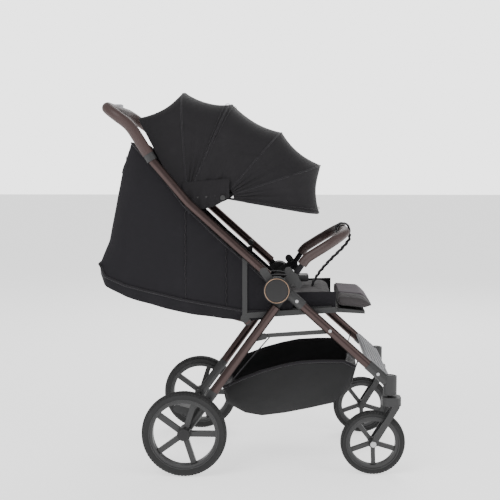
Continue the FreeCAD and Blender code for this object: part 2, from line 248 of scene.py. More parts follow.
def cloth_material(name, colour, threads=700.0, sheen=0.06, lift=1.35, depth=0.0003, rough=(0.82, 0.95)):
    material, tree, shader, where = base_material(name, 0.9, sheen=sheen)
    if tree:
        shader.inputs["Specular IOR Level"].default_value = 0.28
        weave = add(tree, "ShaderNodeGroup", node_tree=shared("Woven threads", weave_group))
        tree.links.new(where, weave.inputs["Vector"])
        weave.inputs["Threads"].default_value = threads
        light = tuple(c * lift + 0.001 for c in colour)
        finish(tree, shader, where, colour, light, weave.outputs["Factor"], weave.outputs["Height"],
               depth, 0.12, rough, 0.45)
    return material


def grain_material(name, colour, size, rough, depth, metallic=0.0, coat=0.0, wear=0.2, lift=1.4,
                   strength=0.4):
    material, tree, shader, where = base_material(name, sum(rough) / 2, metallic, coat=coat)
    if tree:
        grain = add(tree, "ShaderNodeGroup", node_tree=shared("Pebbled grain", grain_group))
        tree.links.new(where, grain.inputs["Vector"])
        grain.inputs["Size"].default_value = size
        finish(tree, shader, where, colour, tuple(c * lift + 0.001 for c in colour), grain.outputs["Factor"],
               grain.outputs["Height"], depth, wear, rough, strength)
    return material


def mesh_material(name, colour):
    """Open net cloth: a hex pattern that lets light through its holes."""
    material, tree, shader, where = base_material(name, 0.85, sheen=0.1)
    if tree:
        cells = add(tree, "ShaderNodeTexVoronoi", {"Vector": where, "Scale": 420.0},
                    feature="DISTANCE_TO_EDGE")
        hole = add(tree, "ShaderNodeMapRange", {"Value": cells.outputs["Distance"], "From Min": 0.12,
                   "From Max": 0.2, "To Min": 1.0, "To Max": 0.55})
        tree.links.new(hole.outputs[0], shader.inputs["Alpha"])
        finish(tree, shader, where, colour, tuple(c * 1.5 for c in colour), cells.outputs["Distance"],
               cells.outputs["Distance"], 0.0003, 0.1)
    return material


def quilt_material(name, colour):
    """Padded cloth with a fine weave and a stitched diamond pattern."""
    material, tree, shader, where = base_material(name, 0.88, sheen=0.12)
    if tree:
        weave = add(tree, "ShaderNodeGroup", node_tree=shared("Woven threads", weave_group))
        tree.links.new(where, weave.inputs["Vector"])
        turn = add(tree, "ShaderNodeMapping", {"Vector": where, "Rotation": (0, 0, math.radians(45))})
        lines = [add(tree, "ShaderNodeTexWave", {"Vector": turn.outputs[0], "Scale": 11.0},
                     bands_direction=d, wave_profile="SIN").outputs["Fac"] for d in "XY"]
        dents = math_node(tree, "MINIMUM", lines[0], lines[1])
        dents = math_node(tree, "POWER", dents, 0.35)
        height = math_node(tree, "ADD", math_node(tree, "MULTIPLY", dents, 8.0), weave.outputs["Height"])
        finish(tree, shader, where, colour, tuple(c * 1.5 for c in colour), weave.outputs["Factor"], height,
               0.00035, 0.15, (0.8, 0.95), 0.5)
    return material


def settings():
    return bpy.context.scene.stroller_sizes, bpy.context.scene.stroller_colours


def palette():
    _, c = settings()
    return {
        "canopy": cloth_material("canopy cloth", tuple(c.canopy)),
        "side": cloth_material("tub cloth", tuple(c.side), threads=620.0),
        "seat": quilt_material("quilted seat", tuple(c.seat)),
        "panel": cloth_material("light seat panel", (0.085, 0.074, 0.082), threads=560.0, lift=1.5),
        "tape": cloth_material("binding tape", (0.010, 0.009, 0.011), threads=1500.0, sheen=0.2),
        "webbing": cloth_material("harness webbing", (0.012, 0.011, 0.013), threads=420.0, depth=0.0005),
        "basket": cloth_material("basket ripstop", (0.0085, 0.0085, 0.009), threads=900.0, rough=(0.55, 0.8)),
        "net": mesh_material("basket net", (0.075, 0.072, 0.075)),
        "leather": grain_material("push bar leather", tuple(c.leather), 620.0, (0.42, 0.6), 0.0003, wear=0.1,
                                  lift=1.25),
        "bumper": grain_material("bumper bar leather", (0.040, 0.023, 0.021), 620.0, (0.42, 0.6), 0.0003,
                                 wear=0.1,
                                 lift=1.3),
        "tube": grain_material("anodised tube", tuple(c.tube), 2600.0, (0.26, 0.36), 0.00002, metallic=0.92,
                               wear=0.06, lift=1.2, strength=0.2),
        "plastic": grain_material("moulded plastic", (0.0175, 0.0175, 0.018), 1500.0, (0.42, 0.58), 0.00008,
                                  wear=0.1),
        "rim": grain_material("wheel plastic", (0.017, 0.017, 0.0175), 1300.0, (0.36, 0.5), 0.00006,
                              wear=0.12),
        "tyre": grain_material("foam tyre", (0.011, 0.011, 0.0112), 900.0, (0.7, 0.9), 0.0003, wear=0.18),
        "steel": grain_material("plated steel", (0.42, 0.42, 0.43), 1800.0, (0.25, 0.38), 0.00002,
                                metallic=1.0,
                                wear=0.1, lift=1.1),
        "silver": grain_material("silver button", (0.62, 0.62, 0.65), 900.0, (0.18, 0.3), 0.00002,
                                 metallic=0.6,
                                 coat=0.5, lift=1.05),
        "cap": grain_material("hub cover", (0.006, 0.0055, 0.006), 700.0, (0.55, 0.7), 0.00004, coat=0.0,
                              wear=0.08),
        "bronze": grain_material("bronze ring", (0.30, 0.20, 0.14), 1200.0, (0.22, 0.34), 0.00002,
                                 metallic=1.0,
                                 lift=1.2),
        "foot": grain_material("footrest rubber", (0.30, 0.30, 0.31), 700.0, (0.55, 0.75), 0.00015, wear=0.15,
                               lift=1.2),
        "zip": grain_material("zip metal", (0.33, 0.33, 0.34), 1500.0, (0.2, 0.35), 0.00003, metallic=1.0,
                              lift=1.2),
    }


CAD_FINISH = {
    "front_leg": "tube", "rear_leg": "tube", "handle_tube": "tube", "front_crossbar": "tube",
    "handle_bar": "leather", "bumper_cover": "bumper", "hub_covers": "cap", "footrest": "foot",
    "rear_tyre": "tyre", "front_tyre": "tyre", "rear_rim": "rim", "front_rim": "rim", "rear_cap": "cap",
    "fold_button": "silver", "frame_screws": "steel", "rear_axle": "plastic", "backrest_frame": "tube",
    "bumper_sleeves": "side", "canopy_bow": "tape", "canopy_panel": "canopy", "tub": "side",
    "basket": "basket", "seat_pad": "seat", "backrest_pad": "seat", "leg_rest_pad": "seat",
}


# ---------------------------------------------------------------- modelling helpers
def nothing_selected():
    if bpy.context.object and bpy.context.object.mode != "OBJECT":
        bpy.ops.object.mode_set(mode="OBJECT")
    bpy.ops.object.select_all(action="DESELECT")


def alone(obj):
    nothing_selected()
    obj.select_set(True)
    bpy.context.view_layer.objects.active = obj


def placed(obj):
    """Puts the object's place into its mesh."""
    alone(obj)
    bpy.ops.object.transform_apply(location=True, rotation=True, scale=True)
    return obj


def modify(obj, kind, **values):
    alone(obj)
    modifier = obj.modifiers.new(kind.title(), kind)
    for key, value in values.items():
        setattr(modifier, key, value)
    bpy.ops.object.modifier_apply(modifier=modifier.name)


def smooth(obj, angle=40):
    alone(obj)
    bpy.ops.object.shade_smooth_by_angle(angle=math.radians(angle))


def coat(obj, material):
    obj.data.materials.clear()
    obj.data.materials.append(material)


def outward(obj):
    alone(obj)
    bpy.ops.object.mode_set(mode="EDIT")
    bpy.ops.mesh.select_all(action="SELECT")
    bpy.ops.mesh.remove_doubles(threshold=1e-5)
    bpy.ops.mesh.normals_make_consistent(inside=False)
    bpy.ops.object.mode_set(mode="OBJECT")


def cloth_grid(name, across, along, place):
    """A grid primitive laid over a surface: place(a, b) gives the point for a and b from 0 to 1."""
    nothing_selected()
    bpy.ops.mesh.primitive_grid_add(x_subdivisions=across, y_subdivisions=along, size=2)
    obj = bpy.context.object
    obj.name = obj.data.name = name
    for v in obj.data.vertices:
        v.co = place((v.co.x + 1) / 2, (v.co.y + 1) / 2)
    return obj


def hand(side):
    return "right" if side < 0 else "left"


def belong(obj, body):
    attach(obj, body)


def dress(obj, material, body):
    coat(obj, material)
    belong(obj, body)


def sewn(obj, thickness, material):
    """Gives a cloth grid its thickness, outward faces, smooth shading and material."""
    thicken(obj, thickness, 0.0)
    outward(obj)
    smooth(obj, CLOTH_SMOOTH)
    coat(obj, material)


def thicken(obj, thickness, offset=0.0):
    modify(obj, "SOLIDIFY", thickness=thickness, offset=offset)


def strap(name, points, width, thickness, up=None):
    """Flat webbing: a grid carried along a route and given its thickness."""
    route = rounded(points, 6)
    nothing_selected()
    bpy.ops.mesh.primitive_grid_add(x_subdivisions=len(route) - 1, y_subdivisions=4, size=2)
    obj = bpy.context.object
    obj.name = obj.data.name = name
    for v in obj.data.vertices:
        i = round((v.co.x + 1) / 2 * (len(route) - 1))
        ahead = route[min(i + 1, len(route) - 1)] - route[max(i - 1, 0)]
        side = (up or Vector((0, 1, 0))).copy()
        side = (side - ahead.normalized() * side.dot(ahead.normalized())).normalized()
        v.co = route[i] + side * (v.co.y * width / 2)
    modify(obj, "SOLIDIFY", thickness=thickness, offset=0.0)
    modify(obj, "BEVEL", width=thickness * 0.25, segments=2, limit_method="ANGLE")
    outward(obj)
    smooth(obj, 50)
    return obj


def rounded(points, steps=5):
    """A smooth route through the points."""
    points = [Vector(p) for p in points]
    if len(points) < 3:
        return [points[0].lerp(points[-1], i / 12) for i in range(13)]
    route = []
    for i in range(len(points) - 1):
        a = points[max(i - 1, 0)]
        b, c = points[i], points[i + 1]
        d = points[min(i + 2, len(points) - 1)]
        for k in range(steps):
            t = k / steps
            route.append(0.5 * ((2 * b) + (c - a) * t + (2 * a - 5 * b + 4 * c - d) * t * t
                                + (3 * b - a - 3 * c + d) * t ** 3))
    return route + [points[-1]]


def cord_bead(name, points, radius, material):
    """A thin piping or wire: a circle carried along the route, both ends capped."""
    nothing_selected()
    curve = bpy.data.curves.new(name, "CURVE")
    curve.dimensions, curve.bevel_depth, curve.use_fill_caps = "3D", radius, True
    curve.bevel_resolution = 2
    line = curve.splines.new("POLY")
    line.points.add(len(points) - 1)
    for p, q in zip(line.points, points):
        p.co = (*q, 1)
    obj = bpy.data.objects.new(name, curve)
    bpy.context.collection.objects.link(obj)
    alone(obj)
    bpy.ops.object.convert(target="MESH")
    obj = bpy.context.object
    outward(obj)
    smooth(obj, CLOTH_SMOOTH)
    coat(obj, material)
    return obj


def block(name, low, high, material, bevel=0.001):
    """A rounded box between two corners."""
    low, high = Vector(low), Vector(high)
    nothing_selected()
    bpy.ops.mesh.primitive_cube_add(size=1, location=(low + high) / 2)
    obj = bpy.context.object
    obj.name = obj.data.name = name
    obj.dimensions = high - low
    placed(obj)
    if bevel:
        modify(obj, "BEVEL", width=bevel, segments=2)
    smooth(obj)
    coat(obj, material)
    return obj


def crease(point, scale=9.0, seed=0.0):
    """Soft fold noise from -1 to 1."""
    p = Vector(point) * scale + Vector((seed, seed * 2.3, -seed))
    return noise.noise(p) + 0.45 * noise.noise(p * 2.3) + 0.2 * noise.noise(p * 5.1)


# ---------------------------------------------------------------- canopy
def hoop(name, s, grow=0.0, foot=0.030):
    """A point on a bow's outline: s from 0 at the right foot, over the top, to 1 at the left foot."""
    pivot, angle, reach, width, corner = BOWS[name]
    a = math.radians(angle)
    e = Vector((math.sin(a), 0, math.cos(a)))
    y0, y1 = width + grow, width - 0.014 + grow
    reach = reach + grow
    up = reach - foot
    arc = math.pi / 2 * corner
    runs = [up - corner, arc, 2 * (y1 - corner), arc, up - corner]
    d = s * sum(runs)
    side = -1
    if d > sum(runs) / 2:
        d, side = sum(runs) - d, 1
    if d <= runs[0]:
        out = foot + d
        y = y0 + (y1 - y0) * (out - foot) / up
    elif d <= runs[0] + runs[1]:
        t = (d - runs[0]) / corner
        out = foot + runs[0] + corner * math.sin(t)
        y = y1 - corner + corner * math.cos(t)
    else:
        out = foot + up
        y = y1 - corner - (d - runs[0] - runs[1])
        out += 0.006 * (1 - (y / (y1 - corner)) ** 2)
    return Vector((pivot.x, 0, pivot.z)) + e * out + Vector((0, side * y, 0))


def rear_hoop(s):
    """The canopy's rear edge, which lies along the push bar's tubes and over the tub's rear wall."""
    top = Vector((-0.322 + CENTRE, 0, 0.994))
    low = Vector((-0.214 + CENTRE, 0, 0.792))
    t = 1 - abs(2 * s - 1)
    side = -1 if s < 0.5 else 1
    k = min(1.0, t / 0.62)
    p = low.lerp(top, 1 - (1 - k) ** 1.6)
    y = 0.203 - 0.02 * k
    if t > 0.62:
        over = (t - 0.62) / 0.38
        y = 0.183 * math.cos(over * math.pi / 2)
        p.z += 0.012 * math.sin(over * math.pi / 2)
    p.y = side * y
    return p


class STROLLER_OT_canopy(bpy.types.Operator):
    """Makes the canopy's cloth panels, seams, binding tape and hem"""
    bl_idname = "stroller.canopy"
    bl_label = "Canopy"

    def execute(self, context):
        sizes, _ = settings()
        looks = palette()
        order = list(BOWS)
        for number, (a, b) in enumerate(zip(order, order[1:])):
            def place(s, u, a=a, b=b, number=number):
                p = hoop(a, s, 0.001).lerp(hoop(b, s, 0.001), u)
                inward = (Vector((p.x * 0.6 + CLIP.x * 0.4, 0, CLIP.z)) - p).normalized()
                over = math.sin(math.pi * s) ** 0.6
                sag = 4 * u * (1 - u) * sizes.canopy_sag * over
                gather = (1 - over) * 0.004 * math.sin(u * math.pi * 7 + number) * math.sin(math.pi * u)
                fold = sizes.wrinkle * 0.35 * crease(p, 7, number) * math.sin(math.pi * u)
                return p + inward * (sag + fold) + Vector((0, gather, 0))
            panel = cloth_grid(f"canopy_cloth_{b}", 96, 28, place)
            thicken(panel, sizes.cloth, -1.0)
            modify(panel, "SUBSURF", levels=1, render_levels=1)
            smooth(panel, CLOTH_SMOOTH)
            coat(panel, looks["canopy"])
            start = (hoop(a, 0.5) + hoop(a, 0.0)) / 2
            end = (hoop(b, 0.5) + hoop(b, 0.0)) / 2
            start.y = end.y = 0
            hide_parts(f"canopy_panel_{b}")
            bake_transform(panel)

        def back(s, u):
            p = rear_hoop(s).lerp(hoop("rear", s, 0.001), u)
            over = math.sin(math.pi * s)
            inward = (Vector((CLIP.x, 0, CLIP.z + 0.03)) - p).normalized()
            return p + inward * (4 * u * (1 - u) * 0.014 * over + 0.0015 * crease(p, 8,
                                                                                  4) * math.sin(math.pi * u))
        rear = cloth_grid("canopy_cloth_rear", 96, 24, back)
        thicken(rear, sizes.cloth, -1.0)
        smooth(rear, CLOTH_SMOOTH)
        coat(rear, looks["canopy"])
        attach(rear, "handle_frame")

        for name in order:
            seam = cord_bead(f"canopy_seam_{name}", [hoop(name, i / 80, 0.0016) for i in range(81)], 0.0022,
                             looks["tape"])
            belong(seam, BOW_BODY[name])
        for name, shift in (("main", 0.0105), ("main", -0.0105), ("edge", -0.012)):
            pivot, _, reach, _, _ = BOWS[name]
            turn = Matrix.Rotation(shift / reach, 4, "Y")
            points = [turn @ (hoop(name, 0.04 + 0.92 * i / 70, 0.0012) - pivot) + pivot for i in range(71)]
            line = cord_bead(f"canopy_stitch_{name}_{'front' if shift > 0 else 'back'}", points, 0.0009,
                             looks["tape"])
            belong(line, BOW_BODY[name])
        # gathered hem that hides the arm between the two pivots
        for side in (-1, 1):
            def hem(t, v, side=side):
                x = CLIP.x - 0.012 + t * (KNOB.x - CLIP.x + 0.030)
                dip = -0.024 * math.sin(math.pi * min(1, t * 1.05)) ** 0.8
                low = CLIP.z - 0.006 + 0.014 * t + dip
                top = CLIP.z + 0.050 + 0.01 * t
                z = low + (top - low) * v
                bulge = 0.2125 - 0.012 * v ** 2 + 0.0022 * math.sin(t * 34) * (1 - v)
                return Vector((x, side * bulge, z))
            flap = cloth_grid(f"canopy_hem_{hand(side)}", 40, 12, hem)
            sewn(flap, 0.002, looks["canopy"])
            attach(flap, "canopy_main")
            knob = turned_disc(f"canopy_knob_{hand(side)}", KNOB.x, side * 0.2145, KNOB.z,
                               0.0075, 0.005, looks["plastic"])
            belong(knob, "canopy_main")
        return {"FINISHED"}


def turned_disc(name, x, y, z, radius, thickness, material, vertices=40):
    nothing_selected()
    bpy.ops.mesh.primitive_cylinder_add(vertices=vertices, radius=radius, depth=thickness,
                                        location=(x, y, z), rotation=(math.pi / 2, 0, 0))
    obj = bpy.context.object
    obj.name = obj.data.name = name
    placed(obj)
    modify(obj, "BEVEL", width=min(radius, thickness) * 0.22, segments=3, limit_method="ANGLE")
    smooth(obj)
    coat(obj, material)
    return obj


# ---------------------------------------------------------------- seat tub
def track(points, t):
    """A point at fraction t of the length of an X-Z polyline."""
    points = [Vector((x / 1000 + CENTRE, 0, z / 1000)) for x, z in points]
    runs = [(b - a).length for a, b in zip(points, points[1:])]
    d = t * sum(runs)
    for a, b, run in zip(points, points[1:], runs):
        if d <= run or b is points[-1]:
            return a.lerp(b, min(1.0, d / run))
        d -= run


TUB_TOP = [(-343, 930), (-276, 862), (-196, 756), (-100, 664), (2, 575), (70, 513), (112, 482)]
TUB_LOW = [(-437, 586), (-420, 553), (-360, 527), (-200, 488), (-20, 456), (60, 455), (112, 455)]
TUB_REAR = [(-437, 586), (-408, 654), (-368, 854), (-343, 930)]
TUB_Y, TUB_ROUND = 0.199, 0.035


def tub_point(u, v):
    """u runs from the right side's front edge round the rear wall to the left side's; v runs upwards."""
    side_share = 0.36
    if u < side_share or u > 1 - side_share:
        t = 1 - (u if u < side_share else 1 - u) / side_share
        side = -1 if u < 0.5 else 1
        low, top = track(TUB_LOW, t), track(TUB_TOP, t)
        p = low.lerp(top, v)
        rear = track(TUB_REAR, v)
        p = p.lerp(p + (rear - track(TUB_LOW, 0).lerp(track(TUB_TOP, 0), v)), (1 - t) ** 3)
        y = TUB_Y + 0.006 * math.sin(math.pi * v) * math.sin(math.pi * min(1, 1.15 * t + 0.05))
        if t < 0.10:
            y -= TUB_ROUND * (1 - t / 0.10) ** 2 * 0.55
        return Vector((p.x, side * y, p.z)), Vector((0, side, 0))
    k = (u - side_share) / (1 - 2 * side_share)
    p = track(TUB_REAR, v)
    y = -(TUB_Y - TUB_ROUND * 0.55) + k * 2 * (TUB_Y - TUB_ROUND * 0.55)
    bow = 0.010 * math.sin(math.pi * k)
    return Vector((p.x - bow, y, p.z)), Vector((-1, 0, 0.2)).normalized()


class STROLLER_OT_tub(bpy.types.Operator):
    """Makes the seat tub's walls, floor, piping, seams, skirt and zips"""
    bl_idname = "stroller.tub"
    bl_label = "Seat tub"

    def execute(self, context):
        sizes, _ = settings()
        looks = palette()
        # from the front of the right side to the front of the left, u turned so 0 is front right

        def wall(a, v):
            p, out = tub_point(a, v)
            loose = math.sin(math.pi * v) ** 0.5
            fold = sizes.wrinkle * crease((p.x * 0.8, p.y, p.z * 0.35), 11, 1) * (0.35 + 0.65 * loose)
            rib = -0.0022 * math.exp(-((abs(p.x + 0.185) / 0.004) ** 2)) * (abs(p.y) > 0.15)
            rib -= 0.0022 * math.exp(-((abs(p.x + 0.070) / 0.004) ** 2)) * (abs(p.y) > 0.15)
            return p + out * (fold * 0.55 + rib)
        tub = cloth_grid("tub_walls", 220, 56, wall)
        thicken(tub, 0.0022, 0.0)
        smooth(tub, CLOTH_SMOOTH)
        coat(tub, looks["side"])
        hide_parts("tub")

        def floor(a, b):
            t = a * 0.92
            low = track(TUB_LOW, t)
            y = (2 * b - 1) * (TUB_Y - 0.004)
            return Vector((low.x, y, low.z + 0.002 * crease((low.x, y, 0), 12, 8)))
        base = cloth_grid("tub_floor", 60, 30, floor)
        thicken(base, 0.0022, 0.0)
        smooth(base, CLOTH_SMOOTH)
        coat(base, looks["side"])

        def skirt(a, v):
            u = 0.04 + 0.92 * a
            p, out = tub_point(u, 0.0)
            side = min(1.0, abs(u - 0.5) / 0.14)
            drop = (0.017 + 0.016
                    * math.sin(math.pi * min(1, max(0, (abs(u - 0.5) - 0.12) / 0.34)))) * side + 0.004
            wave = 0.004 * math.sin(u * 120) * v + 0.003 * crease(p, 14, 3) * v
            return p + Vector((0, 0, -drop * v)) + out * (0.002 + wave - 0.004 * v)
        flap = cloth_grid("tub_skirt", 200, 8, skirt)
        sewn(flap, 0.0025, looks["side"])
        edge = [tub_point(i / 160, 0.0)[0] + tub_point(i / 160, 0.0)[1] * 0.0035 for i in range(161)]
        piping = cord_bead("tub_piping_low", edge, 0.0032, looks["tape"])
        rim_line = [tub_point(i / 160, 1.0)[0] + tub_point(i / 160, 1.0)[1] * 0.001 for i in range(161)]
        binding = cord_bead("tub_piping_top", rim_line, 0.0030, looks["tape"])
        soft = [tub, base, flap, piping, binding]
        for x, name in ((-0.185, "rear"), (-0.070, "front")):
            for side in (-1, 1):
                points = []
                for i in range(25):
                    v = 0.03 + 0.94 * i / 24
                    best = min((tub_point(0.36 * k / 120, v)[0] for k in range(121)),
                               key=lambda p: abs(p.x - x))
                    points.append(Vector((best.x, side * (abs(best.y) + 0.0012), best.z)))
                seam = cord_bead(f"tub_seam_{name}_{hand(side)}", points, 0.0014, looks["tape"])
                soft.append(seam)
        # two zips down the rear wall, beside a vent strip
        for side in (-1, 1):
            points = [tub_point(0.5 + side * 0.085,
                                0.12 + 0.8 * i / 30)[0] + Vector((-0.0015, 0, 0)) for i in range(31)]
            soft.append(cord_bead(f"vent_zip_{hand(side)}", points, 0.0026, looks["tape"]))
            top = points[-3]
            slider = block(f"vent_slider_{hand(side)}", top - Vector((0.006, 0.005, 0.009)),
                           top + Vector((0.001, 0.005, 0.009)), looks["zip"], 0.0015)
            pull = strap(f"vent_pull_{hand(side)}",
                         [top + Vector((-0.006, 0, -0.006)), top + Vector((-0.013, 0, -0.022)),
                          top + Vector((-0.018, 0, -0.040))], 0.010, 0.0016)
            coat(pull, looks["tape"])
            soft += [slider, pull]
        for piece in soft:
            if piece is not tub:
                "steel" if "slider" in piece.name else "side_cloth"
            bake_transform(piece)
        # zip pulls hanging at the canopy clip
        for side in (-1, 1):
            y = side * 0.226
            for k in range(2):
                x = CLIP.x - 0.002 + 0.007 * k
                pull = strap(f"canopy_zip_pull_{hand(side)}_{k + 1}",
                             [(x, y, 0.778), (x - 0.001, y + side * 0.003, 0.762),
                              (x + 0.003, y, 0.742 - 0.008 * k)],
                             0.006, 0.0016, up=Vector((1, 0, 0)))
                dress(pull, looks["tape"], "handle_frame")
        return {"FINISHED"}


# ---------------------------------------------------------------- padding
def cushion(name, outline, half_width, material, rounding, quilt=0.0, seed=0.0):
    """A padded piece: a cube stretched to an X-Z outline, rounded and swollen."""
    xs = [p[0] for p in outline]
    low_x, high_x = min(xs) / 1000 + CENTRE, max(xs) / 1000 + CENTRE
    upper = sorted((p for p in outline if p[2] > 0), key=lambda p: p[0])
    lower = sorted((p for p in outline if p[2] < 0), key=lambda p: p[0])

    def level(line, x):
        mm = (x - CENTRE) * 1000
        for a, b in zip(line, line[1:]):
            if a[0] <= mm <= b[0]:
                return (a[1] + (b[1] - a[1]) * (mm - a[0]) / max(1e-6, b[0] - a[0])) / 1000
        return (line[0][1] if mm < line[0][0] else line[-1][1]) / 1000
    nothing_selected()
    bpy.ops.mesh.primitive_cube_add(size=2)
    obj = bpy.context.object
    obj.name = obj.data.name = name
    bpy.ops.object.mode_set(mode="EDIT")
    bpy.ops.mesh.select_all(action="SELECT")
    bpy.ops.mesh.subdivide(number_cuts=30)
    bpy.ops.object.mode_set(mode="OBJECT")
    for v in obj.data.vertices:
        a, b, c = v.co
        x = low_x + (high_x - low_x) * (a + 1) / 2
        z0, z1 = level(lower, x), level(upper, x)
        edge = (1 - min(1, (1 - abs(a)) / rounding)) ** 2 + (1 - min(1, (1 - abs(b)) / rounding)) ** 2
        plump = 1 - 0.34 * min(1.2, edge)
        z = (z0 + z1) / 2 + c * (z1 - z0) / 2 * plump
        shrink = 1 - 0.035 * abs(c) ** 3
        y = b * half_width * shrink
        if c > 0.9 and quilt:
            row = abs(math.sin((x * 0.7 + y) * 60)) ** 0.35 * abs(math.sin((x * 0.7 - y) * 60)) ** 0.35
            z += quilt * (row - 0.7)
        z += 0.0016 * crease((x, y, z), 12, seed) * (0.4 + 0.6 * (c > 0))
        v.co = (x, y, z)
    modify(obj, "SUBSURF", levels=1, render_levels=1)
    smooth(obj, 75)
    coat(obj, material)
    return obj


class STROLLER_OT_padding(bpy.types.Operator):
    """Makes the seat, backrest and leg rest pads"""
    bl_idname = "stroller.padding"
    bl_label = "Padding"

    def execute(self, context):
        looks = palette()
        seat = cushion("seat_cushion",
                       [(6, 462, -1), (222, 475, -1), (6, 494, 1), (60, 500, 1), (205, 508, 1),
                                        (222, 500, 1)], 0.176, looks["seat"], 0.12, 0.0025, 1)
        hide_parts("seat_pad")
        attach(seat, "handle_frame")
        leg = cushion("leg_rest_cushion", [(243, 466, -1), (319, 459, -1), (336, 468, -1), (243, 501, 1),
                                           (300, 496, 1), (316, 491, 1), (336, 474, 1)], 0.167,
                                           looks["seat"], 0.2,
                      0.0, 2)
        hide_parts("leg_rest_pad")
        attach(leg, "leg_rest")
        low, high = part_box("backrest_pad")
        rise = math.radians(15)
        back = cushion("backrest_cushion", [(-167, -10, -1), (167, -10, -1), (-167, 10, 1), (167, 10, 1)],
                       0.168, looks["seat"], 0.12, 0.0025, 3)
        middle = (Vector(low) + Vector(high)) / 2
        turn = Matrix.Translation((middle.x, 0, middle.z)) @ Matrix.Rotation(rise, 4,
                                                                             "Y") @ Matrix.Translation(
            (-CENTRE, 0, 0))
        back.data.transform(turn)
        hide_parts("backrest_pad")
        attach(back, "backrest")

        def panel(a, b):
            x = 0.246 + CENTRE + a * 0.088
            y = (2 * b - 1) * 0.112
            z = 0.5005 - 0.006 * a - 0.022 * max(0, a - 0.72) * 3.4 * a
            return Vector((x, y, z + 0.0015 * abs(math.sin(y * 90)) ** 0.4))
        top = cloth_grid("leg_rest_panel", 20, 40, panel)
        sewn(top, 0.003, looks["panel"])
        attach(top, "leg_rest")
        # the seat's hanging side panels
        for side in (-1, 1):
            def cheek(t, v, side=side):
                x = 0.012 + CENTRE + t * 0.222
                z = 0.452 + (0.505 + 0.006 * t - 0.452) * v
                return Vector((x, side * (0.1795 + 0.003 * math.sin(math.pi * v) + 0.0015
                                          * crease((x, v, 0), 16)), z))
            wing = cloth_grid(f"seat_side_{hand(side)}", 40, 12, cheek)
            sewn(wing, 0.002, looks["side"])
            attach(wing, "handle_frame")
        return {"FINISHED"}


# ---------------------------------------------------------------- harness and bumper bar
class STROLLER_OT_harness(bpy.types.Operator):
    """Makes the shoulder straps, buckle and the crotch strap looped over the bumper bar"""
    bl_idname = "stroller.harness"
    bl_label = "Harness"

    def execute(self, context):
        sizes, _ = settings()
        looks = palette()
        w = sizes.webbing
        bar = BUMPER_BAR
        # gathered sleeve of cloth wrapped round the bar
        nothing_selected()
        bpy.ops.mesh.primitive_cylinder_add(vertices=64, radius=BAR_WRAP_RADIUS, depth=0.062, location=bar,
                                            rotation=(math.pi / 2, 0, 0), end_fill_type="NOTHING")
        wrap = bpy.context.object
        wrap.name = wrap.data.name = "bar_wrap"
        placed(wrap)
        bpy.ops.object.mode_set(mode="EDIT")
        bpy.ops.mesh.select_all(action="SELECT")
        bpy.ops.mesh.subdivide(number_cuts=9)
        bpy.ops.object.mode_set(mode="OBJECT")
        for v in wrap.data.vertices:
            out = Vector((v.co.x - bar.x, 0, v.co.z - bar.z)).normalized()
            turn = math.atan2(out.z, out.x)
            v.co = Vector((bar.x, v.co.y, bar.z)) + out * (BAR_WRAP_RADIUS + 0.0018
                                                           * math.sin(v.co.y * 900 + 2 * math.sin(turn * 2))
                                                            + 0.0012 * crease(v.co, 40))
        thicken(wrap, 0.002, 1.0)
        outward(wrap)
        smooth(wrap, CLOTH_SMOOTH)
        coat(wrap, looks["side"])
        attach(wrap, "bumper_bar")
        crotch = strap("crotch_strap", [(0.279 + CENTRE, 0, 0.672), (0.282 + CENTRE, 0, 0.650),
                                        (0.262 + CENTRE, 0, 0.622), (0.228 + CENTRE, 0, 0.588),
                                        (0.196 + CENTRE, 0, 0.552), (0.176 + CENTRE, 0, 0.520),
                                        (0.170 + CENTRE, 0, 0.508)], 0.046, 0.005)
        for v in crotch.data.vertices:
            v.co.x += 0.0018 * math.sin(v.co.z * 420)
        coat(crotch, looks["side"])
        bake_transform(crotch)
        pieces = []
        for side in (-1, 1):
            y = side
            pieces.append(strap(f"shoulder_strap_{hand(y)}",
                                [(-0.19, y * 0.055, 0.545), (-0.10, y * 0.062, 0.545),
                                 (0.0, y * 0.065, 0.540),
                                 (0.075, y * 0.05, 0.545), (0.13, y * 0.022, 0.535)], w, 0.0022))
            pieces.append(strap(f"waist_strap_{hand(y)}",
                                [(0.045, y * 0.150, 0.512), (0.075, y * 0.11, 0.527),
                                 (0.11, y * 0.055, 0.532),
                                 (0.135, y * 0.022, 0.532)], w * 0.9, 0.0022, up=Vector((0.6, 0, 0.8))))
        for piece in pieces:
            coat(piece, looks["webbing"])
            if piece.name.startswith("shoulder"):
                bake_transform(piece)
            else:
                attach(piece, "handle_frame")
        buckle = block("buckle", (0.118, -0.030, 0.522), (0.166, 0.030, 0.542), looks["plastic"], 0.005)
        belong(buckle, "handle_frame")
        return {"FINISHED"}


# ---------------------------------------------------------------- basket
BASKET_TOP = [(-86, 233), (-30, 259), (24, 280), (80, 296), (132, 307), (196, 311), (258, 311), (292, 294)]
BASKET_LOW = [(-86, 233), (-78, 186), (-23, 157), (25, 149), (91, 158), (160, 172), (232, 189), (279, 238),
              (292, 294)]


